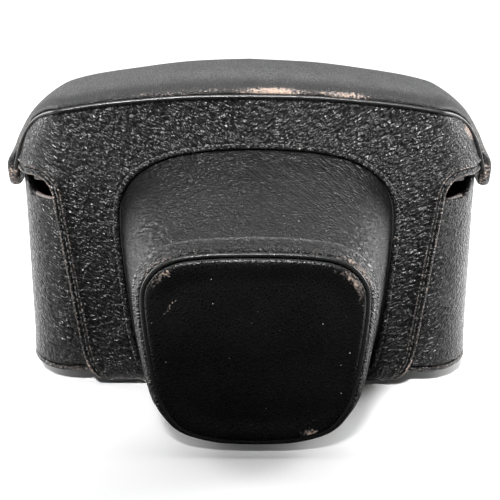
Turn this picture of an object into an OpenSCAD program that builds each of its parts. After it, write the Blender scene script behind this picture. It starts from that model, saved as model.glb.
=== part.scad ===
// Ever-ready leather case for a single-lens reflex camera, built as its separate pieces.
// The lower half-case holds the camera, the cover swings back on a leather strap, and a
// tongue on the cover's front flap snaps under the bottom.
// X runs along the case, the nose points to -Y, and Z is up. The origin is on the axis of the
// retaining screw, on the plane that the case stands on.

/* [Lower half-case] */
// Length of the lower half-case at its rim
case_length = 152; // [150:0.5:153]
// Length lost between the rim and the bottom
case_taper = 3; // [0:0.5:5]
// Depth of the lower half-case, front to back
case_depth = 42; // [40:0.5:44]
// Length of each rounded end, measured along the case
end_round = 16; // [12:1:20]
// Height of the rim above the standing plane
rim_height = 75.5; // [74:0.5:77]
// Thickness of the outer leather of the walls
leather = 2; // [1.6:0.1:2.2]
// Thickness of the fibre board under the leather
board = 1; // [0.6:0.1:1.2]
// Thickness of the flocked lining
lining = 0.8; // [0.5:0.1:1]

/* [Notches in the rim] */
// Height of the bottom of each strap-lug notch
lug_notch_height = 64; // [62:0.5:66]
// Distance from the middle to the centre of each lug notch
lug_notch_place = 67; // [66:0.5:68]
// Height of the bottom of the lens cut-out
lens_notch_height = 26; // [22:1:34]
// Half width of the lens cut-out at its mouth
lens_notch_half = 42; // [38:1:46]

/* [Cover] */
// Height of the crown in the middle of the case
crown_height = 106; // [105:0.5:107]
// Distance from the middle plane to the outer face of the front panel
front_reach = 25; // [24.6:0.1:25.6]
// Thickness of the front panel's leather
front_leather = 1.8; // [1.4:0.1:1.8]
// Radius of the piping in the seams
piping_radius = 0.9; // [0.6:0.1:1]
// Height at which the ears end
ear_height = 64; // [63:0.5:66]

/* [Nose] */
// Distance the nose sits to the right of the middle
nose_shift = 2.5; // [0:0.5:4]
// Distance from the middle plane to the front edge of the nose's wall
nose_reach = 70; // [66:0.5:74]
// Depth of the rounded edge between the nose's wall and its face
nose_edge = 8; // [7:0.5:9]
// Thickness of the nose's wall
nose_leather = 1.8; // [1.4:0.1:2]

/* [Tongue, studs and screw] */
// Depth of the tongue under the bottom
tongue_depth = 13.5; // [13:0.1:13.8]
// Thickness of the tongue
tongue_thick = 2.4; // [2:0.1:2.4]
// Distance from the middle to each press stud under the bottom
stud_place = 34; // [28:1:38]
// Radius of the press studs' caps
cap_radius = 4.8; // [4:0.1:5]
// Thickness of the press studs' caps
cap_thick = 1.5; // [1.2:0.1:1.5]
// Radius of the retaining screw's head
head_radius = 9; // [8:0.1:9]
// Length of the retaining screw's thread inside the case
thread_length = 5.2; // [4:0.1:5.3]

/* [Hidden] */
$fn = 48;

// Colours
black_leather = "#1b1b1c";
black_piping = "#111112";
lining_red = "#5a1a1c";
board_brown = "#8a7660";
nickel = "#b9b7b0";

// Heights of the layers of the bottom
tongue_top = cap_thick + tongue_thick;
bottom_z = tongue_top + 0.5;
panel_top = bottom_z + 1.6;
bottom_board_top = panel_top + 1.2;
floor_z = bottom_board_top + lining;

// The half-case
half_depth = case_depth / 2;
end_steps = 12;
side_steps = 30;
wall_rows = [0, 0.3, 0.6, 0.85, 1];
lug_notch_half = 8;
lens_notch_slope = 12;

// Half of the crown's outline and half of the front seam, from the middle to the ear
crown_points = [
    [0, crown_height], [20, crown_height - 1], [38, crown_height - 3.4], [54, crown_height - 6.2],
    [64, crown_height - 9.8], [71.5, crown_height - 15.5], [76, crown_height - 22.5],
    [78.4, crown_height - 30], [79.2, crown_height - 33]
];
seam_points = [
    [0, crown_height - 6], [20, crown_height - 6.4], [40, crown_height - 8], [54, crown_height - 9.8],
    [63, crown_height - 11.8], [69.5, crown_height - 16], [73.6, crown_height - 22],
    [76, crown_height - 29], [76.8, crown_height - 33]
];
seam_end_z = crown_height - 33;
half_rows = 14;
ear_rows = 3;
ear_half = 81.6;
ear_depth = 10.5;
strip_columns = [-1, -0.8, -0.5, -0.2, 0.1, 0.4, 0.7, 1];
strip_leather = 2;
seam_lap = 2.7;
corner_start = 60;
back_edge_z = rim_height + 0.4;

// Half of the front panel's free edge, from the ear down to the fold
flap_points = [
    [74, seam_end_z - 0.8], [70.5, seam_end_z - 0.4], [66.6, seam_end_z - 1.4],
    [64, seam_end_z - 5], [63, 62], [60.5, 46], [56.6, 20], [55, 11], [52.6, 6.6], [48.5, bottom_z]
];
panel_steps = 16;
front_rows = [101, 96, 92, 88, 84, 80, 76, 72, 67, 60, 30, bottom_z];
front_columns = 36;

// Half of the nose's outline where it leaves the front panel, and at the front of its wall
base_points = [
    [0, 81.8], [14, 81.2], [26, 79.3], [34, 76.3], [40, 71.5], [43.4, 65], [44.1, 56.5],
    [43.2, 44], [41, 24], [38, 10], [36, 7.4], [33, 7], [0, 7]
];
rim_points = [
    [0, 67], [14, 66.6], [24.4, 65], [31, 61.3], [35.1, 55.4], [36, 48.4], [34.8, 35.5],
    [32.3, 21.3], [29, 12.8], [23, 6.3], [12.2, 2.9], [0, 2.2]
];
nose_steps = 32;
flange_width = 5;
board_share = 0.06;
foot_thick = 0.7;
face_inset = 3.7;

// The hinge strap, in the plane of the back
strap_width = 60;
strap_thick = 1.6;
strap_bottom = 54;
strap_top = 95;
strap_stud_x = 21;
strap_stud_z = 61;

// The screw
screw_head_top = 3.8;
hub_radius = 5.6;
hub_top = 7.4;
neck_radius = 3.4;
neck_top = hub_top + 0.7;
thread_radius = 3.1;
socket_radius = 2.55;
socket_depth = 6;
washer_bore = 5.8;
washer_radius = 6.6;
stud_y = -(front_reach - 1) + 8;

// ---- curves and sheets ----

// A smooth curve through the points, each stretch cut into steps
function spline(p, steps = 5) = [
    for (i = [0 : len(p) - 2], k = [0 : steps - 1])
        let (
            t = k / steps,
            a = p[max(i - 1, 0)], b = p[i], c = p[i + 1], d = p[min(i + 2, len(p) - 1)]
        )
        0.5 * (2 * b + (c - a) * t + (2 * a - 5 * b + 4 * c - d) * t * t
            + (3 * b - a - 3 * c + d) * t * t * t),
    p[len(p) - 1]
];

// Running length along a path
function lengths(p, i = 0, total = 0, out = []) =
    i == len(p) ? out
    : let (now = i == 0 ? 0 : total + norm(p[i] - p[i - 1])) lengths(p, i + 1, now, concat(out, [now]));

// The same path as a number of points at equal distances
function even(p, count) =
    let (s = lengths(p), xs = [for (i = [0 : len(p) - 1]) [s[i], p[i].x]],
        ys = [for (i = [0 : len(p) - 1]) [s[i], p[i].y]], total = s[len(s) - 1])
    [for (k = [0 : count - 1]) let (d = total * k / (count - 1)) [lookup(d, xs), lookup(d, ys)]];

function reversed(p) = [for (i = [len(p) - 1 : -1 : 0]) p[i]];
function mirrored(p) = [for (q = reversed(p)) [-q.x, q.y]];
function mix(a, b, t) = a + (b - a) * t;
function ease(t) = let (u = min(max(t, 0), 1)) u * u * (3 - 2 * u);

// A grid of points moved along its own normals; wrap joins the last column to the first
function shifted(g, d, wrap = false) = let (m = len(g), n = len(g[0])) [
    for (i = [0 : m - 1]) [
        for (j = [0 : n - 1])
            let (
                up = g[min(i + 1, m - 1)][j] - g[max(i - 1, 0)][j],
                right = wrap ? g[i][(j + 1) % n] - g[i][(j + n - 1) % n]
                    : g[i][min(j + 1, n - 1)] - g[i][max(j - 1, 0)],
                normal = cross(right, up)
            )
            g[i][j] + normal / max(norm(normal), 0.000001) * d
    ]
];

// A closed solid between two grids of the same size
module sheet(outer, inner, wrap = false) {
    m = len(outer);
    n = len(outer[0]);
    last = wrap ? n - 1 : n - 2;
    half = m * n;
    function at(i, j) = i * n + j % n;
    function quad(a, b, c, d) = [[a, b, c], [a, c, d]];
    faces = [
        for (i = [0 : m - 2], j = [0 : last]) each concat(
            quad(at(i, j), at(i, j + 1), at(i + 1, j + 1), at(i + 1, j)),
            quad(half + at(i, j), half + at(i + 1, j), half + at(i + 1, j + 1), half + at(i, j + 1))
        ),
        for (j = [0 : last]) each concat(
            quad(at(0, j + 1), at(0, j), half + at(0, j), half + at(0, j + 1)),
            quad(at(m - 1, j), at(m - 1, j + 1), half + at(m - 1, j + 1), half + at(m - 1, j))
        ),
        if (!wrap) for (i = [0 : m - 2]) each concat(
            quad(at(i, 0), at(i + 1, 0), half + at(i + 1, 0), half + at(i, 0)),
            quad(at(i + 1, n - 1), at(i, n - 1), half + at(i, n - 1), half + at(i + 1, n - 1))
        )
    ];
    polyhedron([for (g = [outer, inner], row = g) each row], faces, convexity = 8);
}

// A round cord along a path in space; loop joins its ends
module cord(path, radius, loop = false) {
    sides = 8;
    n = len(path);
    rings = [
        for (i = [0 : n - 1])
            let (
                before = loop ? path[(i + n - 1) % n] : path[max(i - 1, 0)],
                after = loop ? path[(i + 1) % n] : path[min(i + 1, n - 1)],
                along = (after - before) / norm(after - before),
                side = cross(along, [0, 1, 0.2]) / norm(cross(along, [0, 1, 0.2])),
                across = cross(along, side)
            )
            [for (k = [0 : sides - 1]) path[i]
                + radius * (cos(360 * k / sides) * side + sin(360 * k / sides) * across)]
    ];
    joins = loop ? n - 1 : n - 2;
    faces = [
        for (i = [0 : joins], k = [0 : sides - 1])
            let (a = i * sides, b = (i + 1) % n * sides, next = (k + 1) % sides)
            each [[a + k, b + k, b + next], [a + k, b + next, a + next]],
        if (!loop) [for (k = [0 : sides - 1]) k],
        if (!loop) [for (k = [sides - 1 : -1 : 0]) (n - 1) * sides + k]
    ];
    polyhedron([for (r = rings) each r], faces, convexity = 8);
}

// ---- shapes of the case ----

// Outline of the half-case seen from above, counter-clockwise from the front left
function plan(half_length, depth, cut) =
    let (straight = half_length - end_round, r = end_round - cut, d = depth - cut)
    [
        for (i = [0 : side_steps - 1]) [mix(-straight, straight, i / side_steps), -d],
        for (i = [0 : end_steps - 1]) let (a = -90 + 180 * i / end_steps)
            [straight + r * cos(a), d * sin(a)],
        for (i = [0 : side_steps - 1]) [mix(straight, -straight, i / side_steps), d],
        for (i = [0 : end_steps - 1]) let (a = 90 + 180 * i / end_steps)
            [-straight + r * cos(a), d * sin(a)]
    ];

// Height of the rim, lowered at the lens and at the two strap lugs
function rim_at(q) =
    let (
        lens = q.y < 0 ? ease((lens_notch_half - abs(q.x)) / lens_notch_slope) : 0,
        lug = q.y < 0.5 ? ease((lug_notch_half - abs(abs(q.x) - lug_notch_place)) / 3) : 0
    )
    rim_height - lens * (rim_height - lens_notch_height) - lug * (rim_height - lug_notch_height);

// The wall's surface, cut this far inside the outer face
function wall_grid(cut, low = panel_top) =
    let (
        top_plan = plan(case_length / 2, half_depth, cut),
        low_plan = plan((case_length - case_taper) / 2, half_depth, cut)
    )
    [
        for (t = wall_rows) [
            for (j = [0 : len(top_plan) - 1])
                let (z = mix(low, rim_at(top_plan[j]), t), f = z / rim_height)
                [mix(low_plan[j].x, top_plan[j].x, f), mix(low_plan[j].y, top_plan[j].y, f), z]
        ]
    ];

module wall_layer(from, to, low = panel_top) {
    sheet(wall_grid(to, low), wall_grid(from, low), wrap = true);
}

module floor_layer(cut, low, high) {
    translate([0, 0, low])
        linear_extrude(high - low)
            polygon(plan((case_length - case_taper) / 2, half_depth, cut));
}

// Half width of the cover at a height
function cover_half(z) = lookup(z, [for (q = reversed(spline(crown_points))) [q.y, q.x]]);

// How far a point on the cover stands out in front or behind, as a share of the full depth
function end_share(x, z) =
    let (w = max(cover_half(z), corner_start + 1), u = (abs(x) - corner_start) / (w - corner_start))
    u <= 0 ? 1 : sqrt(max(1 - u * u, 0.16));

// Outer face of the front panel, which leans back a little towards the seam
function front_y(x, z) = -(front_reach - 1.5 * ease((z - 68) / 30)) * end_share(x, z);
function back_y(x, z) = half_depth * end_share(x, z);

// A seam curve drawn inwards, so that a panel's edge lies under the strip's
function lapped(p) = [
    for (q = p)
        [q.x * (1 - seam_lap / 78), q.y - seam_lap * min(1, (q.y - seam_end_z) / 10)]
];

crown_half = even(spline(crown_points), half_rows + 1);
seam_half = even(spline(seam_points), half_rows + 1);

// The strip's cross-section at one row, from the front seam over the crown to the back seam
function strip_row(crown, seam, side) = [
    for (t = strip_columns)
        let (
            u = pow(abs(t), 2.2),
            y = t < 0 ? front_y(seam.x, seam.y) : back_y(seam.x, seam.y)
        )
        [side * mix(crown.x, seam.x, u), abs(t) * y, mix(crown.y, seam.y, u)]
];

// The ear below the seam's end, which flares away from the half-case and ends in a curve
function ear_row(share, side) =
    let (start = strip_row(crown_half[half_rows], seam_half[half_rows], side))
    [
        for (j = [0 : len(strip_columns) - 1])
            let (
                t = strip_columns[j],
                low = [side * (ear_half - 2.8 * t * t), ear_depth * t, ear_height + 5 * pow(abs(t), 2.5)]
            )
            mix(start[j], low, share)
    ];

strip_grid = [
    for (k = [ear_rows : -1 : 1]) ear_row(k / ear_rows, -1),
    for (i = [half_rows : -1 : 0]) strip_row(crown_half[i], seam_half[i], -1),
    for (i = [1 : half_rows]) strip_row(crown_half[i], seam_half[i], 1),
    for (k = [1 : ear_rows]) ear_row(k / ear_rows, 1)
];

// The strip well above the rim and clear of the seams, for what lies inside it
spare_rows = ear_rows + 3;
inner_strip = [
    for (i = [spare_rows : len(strip_grid) - 1 - spare_rows]) [
        for (j = [1 : len(strip_columns) - 2]) strip_grid[i][j]
    ]
];

// The front panel's outline and the nose's outlines, all from the top middle, clockwise
seam_right = even(spline(lapped(seam_points)), panel_steps + 1);
flap_right = even(spline(flap_points), panel_steps + 1);
fold_right = even([flap_points[len(flap_points) - 1], [0, bottom_z]], panel_steps / 2 + 1);
panel_right = concat(seam_right, flap_right, [for (i = [1 : len(fold_right) - 1]) fold_right[i]]);
rim_right = even(spline(rim_points), nose_steps);
base_right = even(spline(base_points), nose_steps);

// A full loop from its right half
function loop_of(right, shift) = [
    for (q = right) [q.x + shift, q.y],
    for (i = [len(right) - 2 : -1 : 1]) [shift - right[i].x, right[i].y]
];
panel_loop = loop_of(panel_right, 0);
base_loop = loop_of(base_right, nose_shift);
rim_loop = loop_of(rim_right, nose_shift);

// A loop drawn inwards by a distance
function inset(p, d) = let (n = len(p)) [
    for (i = [0 : n - 1])
        let (along = p[(i + 1) % n] - p[(i + n - 1) % n], u = along / norm(along))
        p[i] + d * [u.y, -u.x]
];

// Outer face of the front panel, wider than the panel itself
front_grid = [
    for (z = front_rows) [
        for (i = [0 : front_columns])
            let (x = mix(-78, 78, i / front_columns)) [x, front_y(x, z), z]
    ]
];

// An outline drawn in towards the middle of the panel by a share of its size
function drawn_in(p, share) = [for (q = p) [q.x * (1 - share), mix(q.y, 50, share)]];

// A layer behind the panel's outer face, in the outline given, with a hole round the nose
module front_layer(from, to, outline, hole_margin) {
    intersection() {
        sheet(shifted(front_grid, from), shifted(front_grid, to));
        rotate([90, 0, 0]) linear_extrude(60) difference() {
            polygon(outline);
            polygon(inset(base_loop, -hole_margin));
        }
    }
}

// The back panel, from the back seam down to just above the hinge line
full_seam = concat(mirrored(seam_half), [for (i = [1 : half_rows]) seam_half[i]]);
function back_grid() = [
    for (t = [0, 0.5, 1]) [
        for (q = lapped(full_seam))
            let (x = q.x, z = mix(back_edge_z, max(q.y, back_edge_z + 0.6), t))
            [x, back_y(x, z), z]
    ]
];

module back_layer(from, to, side_cut = 0) {
    g = back_grid();
    cut = [for (row = g) [for (j = [side_cut : len(row) - 1 - side_cut]) row[j]]];
    sheet(shifted(cut, from), shifted(cut, to));
}

// A stretch of the nose's wall, given as [loop, distance in front of the middle plane]
function nose_ring(loop, y) = [for (q = loop) [q.x, -y, q.y]];
nose_grid = [
    nose_ring(base_loop, front_reach - front_leather),
    nose_ring([for (j = [0 : len(base_loop) - 1]) mix(base_loop[j], rim_loop[j], 0.5)],
        (front_reach + nose_reach) / 2),
    nose_ring(rim_loop, nose_reach),
    nose_ring(inset(rim_loop, 0.8), nose_reach + 0.55 * nose_edge),
    nose_ring(inset(rim_loop, 2.2), nose_reach + 0.8 * nose_edge)
];

module nose_plate(loop, from, to) {
    translate([0, -from, 0])
        rotate([90, 0, 0])
            linear_extrude(to - from)
                polygon(loop);
}

// A plate with round corners, standing in the XZ plane and growing towards +Y
module upright_plate(width, low, high, thick, corner) {
    translate([0, thick, 0])
        rotate([90, 0, 0])
            linear_extrude(thick) {
                translate([-width / 2 + corner, low]) square([width - 2 * corner, high - low]);
                translate([-width / 2, low + corner]) square([width, high - low - 2 * corner]);
                for (x = [-1, 1], z = [low + corner, high - corner])
                    translate([x * (width / 2 - corner), z]) circle(corner);
            }
}

// ---- lower half-case ----

module case_wall() {
    color(black_leather) wall_layer(0, leather);
}

module case_board() {
    color(board_brown) wall_layer(leather, leather + board);
}

module case_lining() {
    color(lining_red) wall_layer(leather + board, leather + board + lining, floor_z);
}

// Holes through the bottom for the washer and the two studs
module bottom_holes(centre, stud) {
    cylinder(r = centre, h = 40, center = true);
    for (x = [-1, 1]) translate([x * stud_place, stud_y, 0]) cylinder(r = stud, h = 40, center = true);
}

module bottom_panel() {
    color(black_leather) difference() {
        floor_layer(-0.3, bottom_z, panel_top);
        bottom_holes(washer_radius, 1.2);
    }
}

module bottom_board() {
    color(board_brown) difference() {
        floor_layer(leather + board + 0.2, panel_top, bottom_board_top);
        bottom_holes(washer_radius, 2.8);
    }
}

module bottom_lining() {
    color(lining_red) difference() {
        floor_layer(leather + board + 0.2, bottom_board_top, floor_z);
        bottom_holes(7.6, 2.8);
    }
}

// Eyelet that lines the screw's hole, with a flange under the bottom
module screw_washer() {
    color(nickel) difference() {
        union() {
            translate([0, 0, bottom_z]) cylinder(r = washer_radius, h = bottom_board_top - bottom_z);
            translate([0, 0, bottom_z - 0.4]) cylinder(r = 9.2, h = 0.4);
        }
        cylinder(r = washer_bore, h = 40, center = true);
    }
}

// Male half of a press stud under the bottom, riveted through the leather
module bottom_stud(side) {
    color(nickel) translate([side * stud_place, stud_y, 0]) {
        translate([0, 0, panel_top]) cylinder(r = 2, h = 0.6);
        translate([0, 0, bottom_z - 0.1]) cylinder(r = 1.1, h = panel_top - bottom_z + 0.2);
        translate([0, 0, bottom_z - 2]) cylinder(r = 1.7, h = 2);
    }
}

// Male half of a press stud on the back, with a flat foot on the leather
module back_stud(side) {
    color(nickel) translate([side * strap_stud_x, half_depth, strap_stud_z]) rotate([-90, 0, 0]) {
        cylinder(r = 3, h = 0.5);
        cylinder(r = 1.7, h = strap_thick - 0.1);
    }
}

module hinge_strap() {
    color(black_leather) translate([0, half_depth, 0]) difference() {
        upright_plate(strap_width, strap_bottom, strap_top, strap_thick, 6);
        for (x = [-1, 1]) translate([x * strap_stud_x, 0, strap_stud_z]) rotate([90, 0, 0])
            cylinder(r = 3.2, h = 10, center = true);
    }
}

// Round cap of a press stud, with a stepped edge
module cap(radius, thick) {
    rotate_extrude() polygon([
        [0, 0], [radius - 0.9, 0], [radius - 0.2, 0.5], [radius, 0.9], [radius, thick], [0, thick]
    ]);
}

module strap_cap(side) {
    color(nickel)
        translate([side * strap_stud_x, half_depth + strap_thick + cap_thick, strap_stud_z])
            rotate([90, 0, 0])
                cap(cap_radius, cap_thick);
}

// ---- cover ----

module top_strip() {
    color(black_leather) sheet(shifted(strip_grid, 0), shifted(strip_grid, strip_leather));
}

module top_board() {
    color(board_brown)
        sheet(shifted(inner_strip, strip_leather), shifted(inner_strip, strip_leather + board));
}

module top_lining() {
    from = strip_leather + board;
    color(lining_red) sheet(shifted(inner_strip, from), shifted(inner_strip, from + lining));
}

module front_panel() {
    color(black_leather) front_layer(0, front_leather, panel_loop, 0);
}

module front_board() {
    outline = drawn_in(panel_loop, board_share);
    color(board_brown)
        front_layer(front_leather, front_leather + foot_thick, outline, flange_width + 0.3);
}

module front_lining() {
    from = front_leather + foot_thick;
    color(lining_red) front_layer(from, from + 0.6, drawn_in(panel_loop, board_share), 0.6);
}

module back_panel() {
    color(black_leather) back_layer(0, leather);
}

module back_board() {
    color(board_brown) back_layer(leather, leather + board, 3);
}

module back_lining() {
    color(lining_red) back_layer(leather + board, leather + board + lining, 3);
}

// The piping follows the seam a little outside it
module seam_piping(front) {
    last = len(full_seam) - 1;
    stand_off = piping_radius - 0.2;
    path = [
        for (i = [0 : last])
            let (
                q = full_seam[i],
                along = full_seam[min(i + 1, last)] - full_seam[max(i - 1, 0)],
                out = [-along.y, along.x] / norm(along) * stand_off,
                y = front ? front_y(q.x, q.y) - stand_off : back_y(q.x, q.y) + stand_off
            )
            [q.x + out.x, y, q.y + out.y]
    ];
    color(black_piping) cord(path, piping_radius);
}

module top_front_piping() {
    seam_piping(true);
}

module top_back_piping() {
    seam_piping(false);
}

module nose_wall() {
    color(black_leather)
        sheet(shifted(nose_grid, 0, true), shifted(nose_grid, nose_leather, true), wrap = true);
}

// Turned-out foot of the nose, glued behind the front panel
module nose_flange() {
    color(black_leather) intersection() {
        front_layer(front_leather, front_leather + foot_thick, inset(base_loop, -flange_width), 0);
        translate([-100, -50, bottom_z + 0.6]) cube([200, 50, 100]);
    }
}

module nose_rim_welt() {
    path = nose_ring(inset(rim_loop, 3), nose_reach + 0.86 * nose_edge);
    color(black_piping) cord(path, 0.7, loop = true);
}

module nose_face() {
    color(black_leather)
        nose_plate(inset(rim_loop, face_inset), nose_reach + 0.92 * nose_edge, nose_reach + nose_edge + 0.8);
}

module nose_face_board() {
    color(board_brown)
        nose_plate(inset(rim_loop, 4.6), nose_reach + 0.7 * nose_edge, nose_reach + 0.92 * nose_edge);
}

module nose_lining() {
    color(lining_red)
        nose_plate(inset(rim_loop, 4.6), nose_reach + 0.6 * nose_edge, nose_reach + 0.7 * nose_edge);
}

// ---- tongue ----

module snap_tongue() {
    corner = 5;
    half = 48;
    front = front_reach - 1;
    color(black_leather) translate([0, -front, cap_thick]) difference() {
        linear_extrude(tongue_thick) {
            translate([-half, 0]) square([2 * half, tongue_depth - corner]);
            translate([corner - half, 0]) square([2 * (half - corner), tongue_depth]);
            for (x = [-1, 1]) translate([x * (half - corner), tongue_depth - corner]) circle(corner);
        }
        for (x = [-1, 1]) translate([x * stud_place, stud_y + front, 0])
            cylinder(r = 3.05, h = 20, center = true);
    }
}

module tongue_cap(side) {
    color(nickel) translate([side * stud_place, stud_y, 0]) cap(cap_radius, cap_thick);
}

// Female half of a press stud, set in the tongue
module tongue_socket(side) {
    color(nickel) translate([side * stud_place, stud_y, 0]) difference() {
        union() {
            translate([0, 0, cap_thick]) cylinder(r = 3, h = tongue_thick + 0.1);
            translate([0, 0, tongue_top]) cylinder(r = 4, h = 0.25);
        }
        translate([0, 0, cap_thick + 0.4]) cylinder(r = 2.1, h = 10);
    }
}

// ---- screw ----

module retaining_screw() {
    color(nickel) difference() {
        union() {
            cylinder(r = head_radius, h = screw_head_top);
            cylinder(r = hub_radius, h = hub_top);
            cylinder(r = neck_radius, h = neck_top);
            cylinder(r = thread_radius, h = neck_top + thread_length);
        }
        translate([0, 0, -1]) cylinder(r = socket_radius, h = socket_depth + 1);
    }
}

// Ring that keeps the screw in the bottom
module screw_clip() {
    color(nickel) translate([0, 0, hub_top + 0.02]) difference() {
        cylinder(r = 7.2, h = 0.6);
        cylinder(r = neck_radius + 0.02, h = 5, center = true);
    }
}

case_wall();
case_board();
case_lining();
bottom_panel();
bottom_board();
bottom_lining();
screw_washer();
bottom_stud(-1);  // bottom_stud_left
bottom_stud(1);  // bottom_stud_right
back_stud(-1);  // back_stud_left
back_stud(1);  // back_stud_right
hinge_strap();
strap_cap(-1);  // strap_cap_left
strap_cap(1);  // strap_cap_right
top_strip();
top_board();
top_lining();
front_panel();
front_board();
front_lining();
back_panel();
back_board();
back_lining();
top_front_piping();
top_back_piping();
nose_wall();
nose_flange();
nose_rim_welt();
nose_face();
nose_face_board();
nose_lining();
snap_tongue();
tongue_cap(-1);  // tongue_cap_left
tongue_cap(1);  // tongue_cap_right
tongue_socket(-1);  // tongue_socket_left
tongue_socket(1);  // tongue_socket_right
retaining_screw();
screw_clip();
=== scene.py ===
import math

import bpy
import numpy as np
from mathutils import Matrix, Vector, geometry, kdtree, noise


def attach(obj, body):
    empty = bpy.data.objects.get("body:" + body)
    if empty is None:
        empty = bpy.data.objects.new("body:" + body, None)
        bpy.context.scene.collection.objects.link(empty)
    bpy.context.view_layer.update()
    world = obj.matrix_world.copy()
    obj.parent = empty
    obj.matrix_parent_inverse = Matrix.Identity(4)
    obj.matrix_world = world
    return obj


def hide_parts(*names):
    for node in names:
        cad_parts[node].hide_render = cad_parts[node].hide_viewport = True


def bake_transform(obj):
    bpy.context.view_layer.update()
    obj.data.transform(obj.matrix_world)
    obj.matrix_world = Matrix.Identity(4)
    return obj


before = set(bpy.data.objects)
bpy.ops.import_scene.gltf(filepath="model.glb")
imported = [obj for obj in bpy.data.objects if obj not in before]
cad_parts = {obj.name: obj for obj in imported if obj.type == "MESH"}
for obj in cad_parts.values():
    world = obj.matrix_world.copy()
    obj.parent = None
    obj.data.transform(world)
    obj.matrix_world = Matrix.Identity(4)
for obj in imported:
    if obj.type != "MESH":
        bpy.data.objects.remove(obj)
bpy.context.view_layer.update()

MM = 0.001

# ---- table, lights and camera ----
# The case stands on a plain white table under a broad overhead softbox, with a smaller lamp
# above the front that picks out the grain, and a pale panel at each side. A black card in
# front is seen only in reflections, so that the leather facing forward stays black.

def lamp(name, place, aim, size, power, spread):
    """A rectangular lamp, sized in metres and powered in watts, that spreads by so many degrees."""
    light = bpy.data.lights.new(name, "AREA")
    light.spread = math.radians(spread)
    light.shape = "RECTANGLE"
    light.size, light.size_y = size
    light.energy = power
    holder = bpy.data.objects.new(name, light)
    holder.location = place
    holder.rotation_euler = (Vector(aim) - Vector(place)).to_track_quat("-Z", "Y").to_euler()
    bpy.context.collection.objects.link(holder)


lamp("overhead_softbox", (0, 0.85, 1.1), (0, 0.8, 0), (3.6, 2.3), 36, 130)
lamp("grain_lamp", (-0.06, -0.6, 0.6), (0.02, -0.03, 0.113), (0.36, 0.12), 0.68, 15)
lamp("left_panel", (-0.75, 0.42, 0.28), (0, 0, 0.05), (0.5, 0.5), 2.3, 90)
lamp("right_panel", (0.75, 0.42, 0.28), (0, 0, 0.05), (0.5, 0.5), 2.9, 90)

world = bpy.data.worlds.new("studio")
world.use_nodes = True
sky = world.node_tree.nodes["Background"].inputs
sky["Color"].default_value = (1, 1, 1, 1)
sky["Strength"].default_value = 0.03
bpy.context.scene.world = world
bpy.context.scene.view_settings.view_transform = "Standard"


def flat_plane(name, low, high, height, finish, grey, rough, specular=0.5):
    """A flat rectangle from corner to corner at a height in metres, with a plain matt finish."""
    corners = [(low[0], low[1], 0), (high[0], low[1], 0), (high[0], high[1], 0), (low[0], high[1], 0)]
    mesh = bpy.data.meshes.new(name)
    mesh.from_pydata(corners, [], [(0, 1, 2, 3)])
    plane = bpy.data.objects.new(name, mesh)
    plane.location = (0, 0, height)
    bpy.context.collection.objects.link(plane)
    paint = bpy.data.materials.new(finish)
    paint.use_nodes = True
    inputs = paint.node_tree.nodes["Principled BSDF"].inputs
    inputs["Base Color"].default_value = (grey, grey, grey, 1)
    inputs["Roughness"].default_value = rough
    inputs["Specular IOR Level"].default_value = specular
    mesh.materials.append(paint)
    return plane


table = flat_plane("table", (-6, -6), (6, 6), -0.0002, "white_table", 0.93, 0.9)
card = flat_plane("black_card", (-0.11, -3), (0.11, -0.03), 0.0002, "black_paper", 0.01, 0.95, 0.1)
card.visible_camera = card.visible_diffuse = card.visible_shadow = False

view_height, view_turn, view_distance = math.radians(17.8), math.radians(0.58), 0.5
aim = Vector((0.0002, 0, 0.0407))
eye = aim + view_distance * Vector((
    math.sin(view_turn) * math.cos(view_height),
    -math.cos(view_turn) * math.cos(view_height),
    math.sin(view_height),
))
camera = bpy.data.objects.new("camera", bpy.data.cameras.new("camera"))
camera.data.lens = 104.9
camera.data.sensor_width = 36
camera.location = eye
camera.rotation_euler = (aim - eye).to_track_quat("-Z", "Y").to_euler()
bpy.context.collection.objects.link(camera)
bpy.context.scene.camera = camera

# ---- lower half-case ----
# One strip of thick pebbled cowhide, wet-moulded over a block and closed behind, with a
# skived and rounded rim that dips for the lens and for the two strap lugs.

def ease(share):
    """A share held between 0 and 1, softened at both ends."""
    share = np.clip(share, 0, 1)
    return share * share * (3 - 2 * share)


def hill(values, middle, width):
    """1 where the values are at the middle, fading to 0 over about this width to both sides."""
    return np.exp(-((values - middle) / width) ** 2)


def wave(points, size, seed):
    """Soft random height at each point, from -1 to 1, in waves about this many millimetres long."""
    return np.array([noise.noise(Vector((p / size + seed).tolist())) for p in points])


def made(name, points, faces, marks=None):
    """A smooth mesh piece from points in millimetres, with named marks on its points."""
    mesh = bpy.data.meshes.new(name)
    mesh.from_pydata((np.asarray(points) * MM).tolist(), [], faces)
    for mark, values in (marks or {}).items():
        layer = mesh.attributes.new(mark, "FLOAT", "POINT")
        layer.data.foreach_set("value", np.asarray(values, np.float32))
    mesh.polygons.foreach_set("use_smooth", [True] * len(mesh.polygons))
    mesh.update()
    piece = bpy.data.objects.new(name, mesh)
    bpy.context.collection.objects.link(piece)
    return piece


def ring_shell(name, rows, marks=None):
    """A closed wall: each row runs right round, and the last row joins the first."""
    m, n = rows.shape[:2]
    i, j = np.meshgrid(np.arange(m), np.arange(n), indexing="ij")
    up, side = (i + 1) % m, (j + 1) % n
    faces = np.stack([i * n + j, i * n + side, up * n + side, up * n + j], -1).reshape(-1, 4)
    points = rows.reshape(-1, 3)
    a, b, c, d = (points[faces[:, k]] for k in range(4))
    volume = (a * np.cross(b, c)).sum() + (a * np.cross(c, d)).sum()
    if volume < 0:
        faces = faces[:, ::-1]
    return made(name, points, faces.tolist(), marks)


def fitted(piece, material, slot, body, *nodes):
    """Gives a piece its finish, the solids that it stands for, and the body that it moves with."""
    piece.data.materials.append(material)
    if nodes:
        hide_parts(*nodes)
    if body:
        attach(piece, body)
    return piece


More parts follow.
